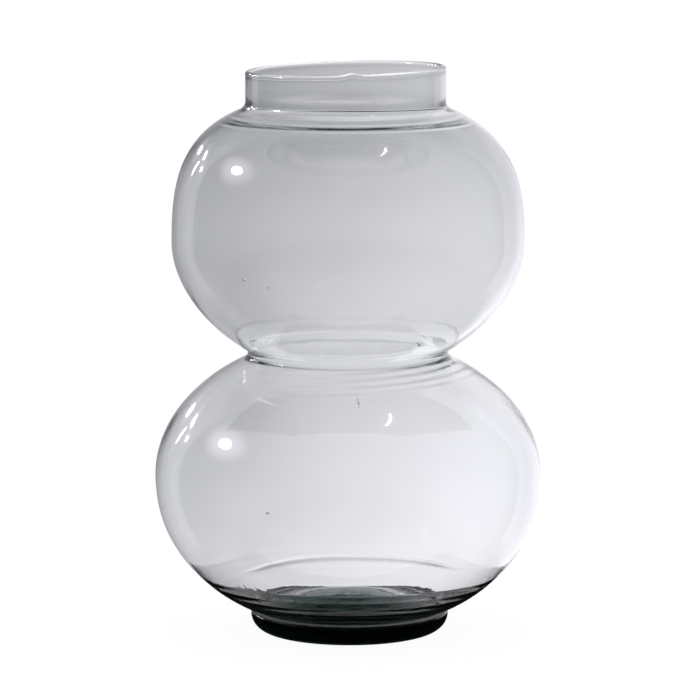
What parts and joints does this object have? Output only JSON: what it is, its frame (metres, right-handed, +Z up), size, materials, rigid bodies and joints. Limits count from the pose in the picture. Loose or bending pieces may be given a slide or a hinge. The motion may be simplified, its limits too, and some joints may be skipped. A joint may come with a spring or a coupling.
{
  "type": "double gourd vase",
  "caption": "Clear blown-glass vase of double gourd form: straight neck, round upper bulb, open waist, wider lower bulb and a thick round foot.",
  "frame": {"origin": "centre of the ring the vase stands on, at table height", "axes": "+Z up along the vase's axis, out of the mouth; +X to the right and -Y towards the viewer in the picture"},
  "size_m": [0.204, 0.204, 0.3],
  "materials": {
    "body_glass": "clear blown soda glass with a faint teal tint, fire-polished",
    "foot_glass": "the same glass, solid, so it reads darker and more teal"
  },
  "bodies": {
    "root": {"blown_body": "body_glass", "foot": "foot_glass"}
  },
  "joints": []
}
